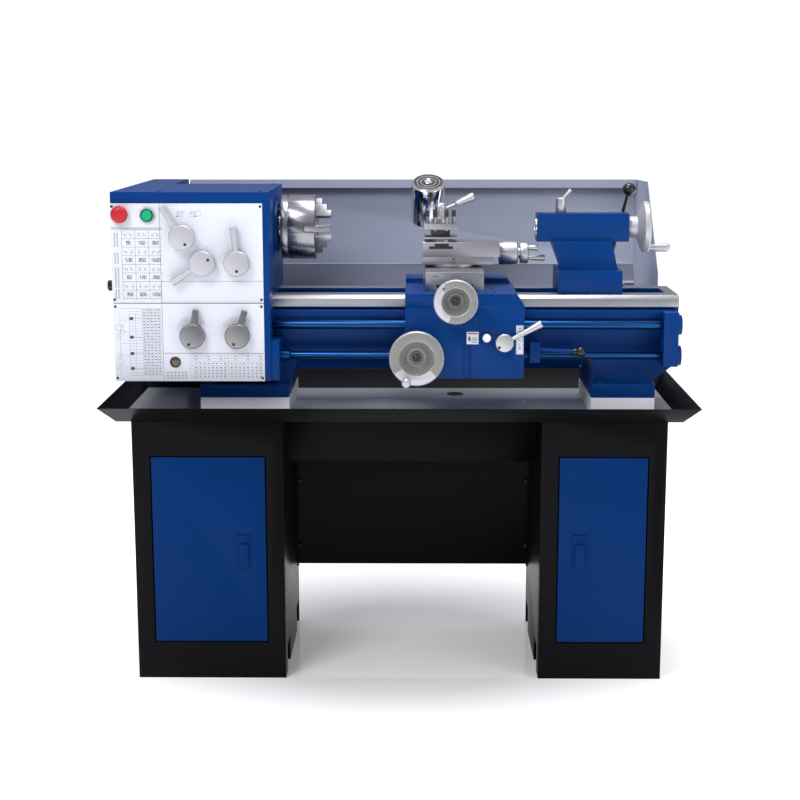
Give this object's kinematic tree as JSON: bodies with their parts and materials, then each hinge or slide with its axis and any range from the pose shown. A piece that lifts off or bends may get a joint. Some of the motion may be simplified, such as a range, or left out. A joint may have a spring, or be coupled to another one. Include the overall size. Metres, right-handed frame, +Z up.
{
  "type": "metal lathe",
  "caption": "Small metal-turning lathe on a two-cabinet steel stand, with chip tray, three-jaw chuck, carriage with compound slide, tailstock, splash guard and lamp.",
  "frame": {"origin": "on the floor, at the centre of the four outer anchor holes", "axes": "+X along the bed from headstock to tailstock, +Y away from the operator, +Z up"},
  "size_m": [1.3, 0.717, 1.1095],
  "materials": {
    "black_paint": "gloss enamel",
    "door_blue": "satin enamel",
    "machine_blue": "gloss enamel",
    "riser_paint": "satin enamel",
    "guard_paint": "satin enamel",
    "panel_silver": "printed satin plate",
    "steel": "ground",
    "chrome": "polished",
    "cast_aluminium": "satin cast",
    "black_plastic": "gloss",
    "red_plastic": "gloss",
    "green_plastic": "gloss",
    "belt_rubber": "matt",
    "white_plastic": "gloss"
  },
  "bodies": {
    "frame": {"left_cabinet": "black_paint", "right_cabinet": "black_paint", "cross_beam": "black_paint", "back_panel": "black_paint", "stand_bolts": "black_paint", "chip_tray": "black_paint", "riser_blocks": "riser_paint", "bed_pedestals": "machine_blue", "bed": "machine_blue", "rack": "machine_blue", "leadscrew_bracket": "machine_blue", "headstock_housing": "machine_blue", "front_panels": "panel_silver", "feed_gearbox": "machine_blue", "cover_backplate": "machine_blue", "spindle_bearings": "steel", "motor": "machine_blue", "drive_belt": "belt_rubber", "splash_guard": "guard_paint"},
    "left_door": {"left_door": "door_blue"},
    "left_latch": {"left_latch": "door_blue"},
    "right_door": {"right_door": "door_blue"},
    "right_latch": {"right_latch": "door_blue"},
    "end_cover": {"end_cover": "machine_blue"},
    "stop_button": {"stop_button": "red_plastic"},
    "start_button": {"start_button": "green_plastic"},
    "speed_lever_1": {"speed_lever_1": "chrome"},
    "speed_lever_2": {"speed_lever_2": "chrome"},
    "speed_lever_3": {"speed_lever_3": "chrome"},
    "feed_lever_1": {"feed_lever_1": "chrome"},
    "feed_lever_2": {"feed_lever_2": "chrome"},
    "spindle": {"spindle": "steel", "spindle_pulley": "steel", "chuck_body": "chrome"},
    "chuck_jaw_1": {"chuck_jaw_1": "steel"},
    "chuck_jaw_2": {"chuck_jaw_2": "steel"},
    "chuck_jaw_3": {"chuck_jaw_3": "steel"},
    "motor_pulley": {"motor_pulley": "steel"},
    "leadscrew": {"leadscrew": "steel"},
    "feed_rod": {"feed_rod": "steel"},
    "carriage": {"saddle": "machine_blue", "apron": "machine_blue", "lamp_arm": "black_plastic"},
    "apron_handwheel": {"apron_handwheel": "cast_aluminium"},
    "cross_handwheel": {"cross_handwheel": "cast_aluminium"},
    "cross_slide": {"cross_slide": "steel"},
    "compound_base": {"compound_base": "machine_blue"},
    "top_slide": {"top_slide": "steel"},
    "compound_handwheel": {"compound_handwheel": "chrome"},
    "toolpost": {"toolpost": "steel"},
    "toolpost_lever": {"toolpost_lever": "chrome"},
    "halfnut_lever": {"halfnut_lever": "chrome"},
    "selector_knob": {"selector_knob": "white_plastic"},
    "control_lever": {"control_lever": "machine_blue"},
    "tailstock": {"tailstock_body": "machine_blue"},
    "quill": {"quill": "steel"},
    "tailstock_handwheel": {"tailstock_handwheel": "cast_aluminium"},
    "quill_lock": {"quill_lock": "chrome"},
    "tailstock_clamp_lever": {"tailstock_clamp_lever": "black_plastic"},
    "lamp_head": {"lamp_head": "chrome"}
  },
  "joints": [
    {"name": "left_door_hinge", "type": "hinge", "parent": "frame", "child": "left_door", "pos_m": [-0.541, -0.195, 0.3], "axis": [0, 0, 1], "range_deg": [-110, 0]},
    {"name": "right_door_hinge", "type": "hinge", "parent": "frame", "child": "right_door", "pos_m": [0.541, -0.195, 0.3], "axis": [0, 0, 1], "range_deg": [0, 110]},
    {"name": "left_latch_pull", "type": "hinge", "parent": "left_door", "child": "left_latch", "pos_m": [-0.341, -0.2063, 0.312], "axis": [1, 0, 0], "range_deg": [-35, 0]},
    {"name": "right_latch_pull", "type": "hinge", "parent": "right_door", "child": "right_latch", "pos_m": [0.4, -0.2063, 0.312], "axis": [1, 0, 0], "range_deg": [-35, 0]},
    {"name": "end_cover_hinge", "type": "hinge", "parent": "frame", "child": "end_cover", "pos_m": [-0.535, 0.396, 0.9], "axis": [0, 0, 1], "range_deg": [-100, 0]},
    {"name": "stop_button_press", "type": "slide", "parent": "frame", "child": "stop_button", "axis": [0, 1, 0], "range_m": [0, 0.004], "stiffness_N_per_m": 2000, "springref_m": -0.002},
    {"name": "start_button_press", "type": "slide", "parent": "frame", "child": "start_button", "axis": [0, 1, 0], "range_m": [0, 0.0025], "stiffness_N_per_m": 1000, "springref_m": -0.002},
    {"name": "speed_lever_1_turn", "type": "hinge", "parent": "frame", "child": "speed_lever_1", "pos_m": [-0.4654, -0.187, 0.992], "axis": [0, 1, 0], "range_deg": [-8, 50]},
    {"name": "speed_lever_2_turn", "type": "hinge", "parent": "frame", "child": "speed_lever_2", "pos_m": [-0.4225, -0.187, 0.9364], "axis": [0, 1, 0], "range_deg": [-40, 25]},
    {"name": "speed_lever_3_turn", "type": "hinge", "parent": "frame", "child": "speed_lever_3", "pos_m": [-0.3488, -0.187, 0.9365], "axis": [0, 1, 0], "range_deg": [-50, 50]},
    {"name": "feed_lever_1_turn", "type": "hinge", "parent": "frame", "child": "feed_lever_1", "pos_m": [-0.4479, -0.187, 0.779], "axis": [0, 1, 0], "range_deg": [-60, 45]},
    {"name": "feed_lever_2_turn", "type": "hinge", "parent": "frame", "child": "feed_lever_2", "pos_m": [-0.3501, -0.187, 0.779], "axis": [0, 1, 0], "range_deg": [-60, 45]},
    {"name": "spindle_turn", "type": "hinge", "parent": "frame", "child": "spindle", "pos_m": [-0.28, 0, 1], "axis": [1, 0, 0], "continuous": true},
    {"name": "jaw_slide_1", "type": "slide", "parent": "spindle", "child": "chuck_jaw_1", "axis": [0, -1, 0], "range_m": [-0.014, 0.01]},
    {"name": "jaw_slide_2", "type": "slide", "parent": "spindle", "child": "chuck_jaw_2", "axis": [0, 0.5, 0.866], "range_m": [-0.014, 0.01]},
    {"name": "jaw_slide_3", "type": "slide", "parent": "spindle", "child": "chuck_jaw_3", "axis": [0, 0.5, -0.866], "range_m": [-0.014, 0.01]},
    {"name": "motor_turn", "type": "hinge", "parent": "frame", "child": "motor_pulley", "pos_m": [-0.59, 0.19, 0.76], "axis": [1, 0, 0], "continuous": true},
    {"name": "leadscrew_turn", "type": "hinge", "parent": "frame", "child": "leadscrew", "pos_m": [0, -0.13, 0.795], "axis": [1, 0, 0], "continuous": true},
    {"name": "feed_rod_turn", "type": "hinge", "parent": "frame", "child": "feed_rod", "pos_m": [0, -0.13, 0.727], "axis": [1, 0, 0], "continuous": true},
    {"name": "carriage_slide", "type": "slide", "parent": "frame", "child": "carriage", "axis": [1, 0, 0], "range_m": [-0.13, 0.005]},
    {"name": "apron_wheel_turn", "type": "hinge", "parent": "carriage", "child": "apron_handwheel", "pos_m": [0.038, -0.198, 0.737], "axis": [0, 1, 0], "range_deg": [-2341, 91]},
    {"name": "cross_wheel_turn", "type": "hinge", "parent": "carriage", "child": "cross_handwheel", "pos_m": [0.121, -0.206, 0.86], "axis": [0, 1, 0], "range_deg": [-4051, 4051]},
    {"name": "cross_slide_move", "type": "slide", "parent": "carriage", "child": "cross_slide", "axis": [0, 1, 0], "range_m": [-0.045, 0.045]},
    {"name": "compound_swivel", "type": "hinge", "parent": "cross_slide", "child": "compound_base", "pos_m": [0.121, 0, 0.912], "axis": [0, 0, 1], "range_deg": [-45, 60]},
    {"name": "top_slide_move", "type": "slide", "parent": "compound_base", "child": "top_slide", "axis": [1, 0, 0], "range_m": [-0.013, 0.008]},
    {"name": "compound_wheel_turn", "type": "hinge", "parent": "top_slide", "child": "compound_handwheel", "pos_m": [0.224, 0, 0.941], "axis": [-1, 0, 0], "range_deg": [-1169, 719]},
    {"name": "toolpost_turn", "type": "hinge", "parent": "top_slide", "child": "toolpost", "pos_m": [0.092, 0, 0.975], "axis": [0, 0, 1], "range_deg": [-90, 90]},
    {"name": "toolpost_lever_turn", "type": "hinge", "parent": "toolpost", "child": "toolpost_lever", "pos_m": [0.092, 0, 1.01], "axis": [0, 0, 1], "range_deg": [-80, 20]},
    {"name": "halfnut_turn", "type": "hinge", "parent": "carriage", "child": "halfnut_lever", "pos_m": [0.2275, -0.198, 0.766], "axis": [0, 1, 0], "range_deg": [-5, 35]},
    {"name": "selector_pull", "type": "slide", "parent": "carriage", "child": "selector_knob", "axis": [0, -1, 0], "range_m": [0, 0.008]},
    {"name": "control_lever_turn", "type": "hinge", "parent": "carriage", "child": "control_lever", "pos_m": [0.297, -0.13, 0.727], "axis": [1, 0, 0], "range_deg": [-15, 15]},
    {"name": "tailstock_slide", "type": "slide", "parent": "frame", "child": "tailstock", "axis": [1, 0, 0], "range_m": [0, 0.09]},
    {"name": "tailstock_wheel_turn", "type": "hinge", "parent": "tailstock", "child": "tailstock_handwheel", "pos_m": [0.514, 0, 1], "axis": [-1, 0, 0], "range_deg": [0, 5399]},
    {"name": "quill_slide", "type": "slide", "parent": "tailstock", "child": "quill", "axis": [-1, 0, 0], "range_m": [0, 0.06]},
    {"name": "quill_lock_turn", "type": "hinge", "parent": "tailstock", "child": "quill_lock", "pos_m": [0.363, 0, 1.031], "axis": [0, 0, 1], "range_deg": [-60, 30]},
    {"name": "clamp_lever_turn", "type": "hinge", "parent": "tailstock", "child": "tailstock_clamp_lever", "pos_m": [0.48, 0.075, 0.89], "axis": [0, 1, 0], "range_deg": [-35, 8]},
    {"name": "lamp_tilt", "type": "hinge", "parent": "carriage", "child": "lamp_head", "pos_m": [0.065, 0.243, 1.055], "axis": [1, 0, 0], "range_deg": [-12, 6]}
  ],
  "couplings": [
    {"joint": "jaw_slide_2", "follows": "jaw_slide_1", "ratio": 1},
    {"joint": "jaw_slide_3", "follows": "jaw_slide_1", "ratio": 1},
    {"joint": "motor_turn", "follows": "spindle_turn", "ratio": 1.875},
    {"joint": "apron_wheel_turn", "follows": "carriage_slide", "rad_per_m": 314.16},
    {"joint": "cross_wheel_turn", "follows": "cross_slide_move", "rad_per_m": 1570.8},
    {"joint": "top_slide_move", "follows": "compound_wheel_turn", "m_per_rad": 0.00063662},
    {"joint": "quill_slide", "follows": "tailstock_wheel_turn", "m_per_rad": 0.00063662}
  ]
}
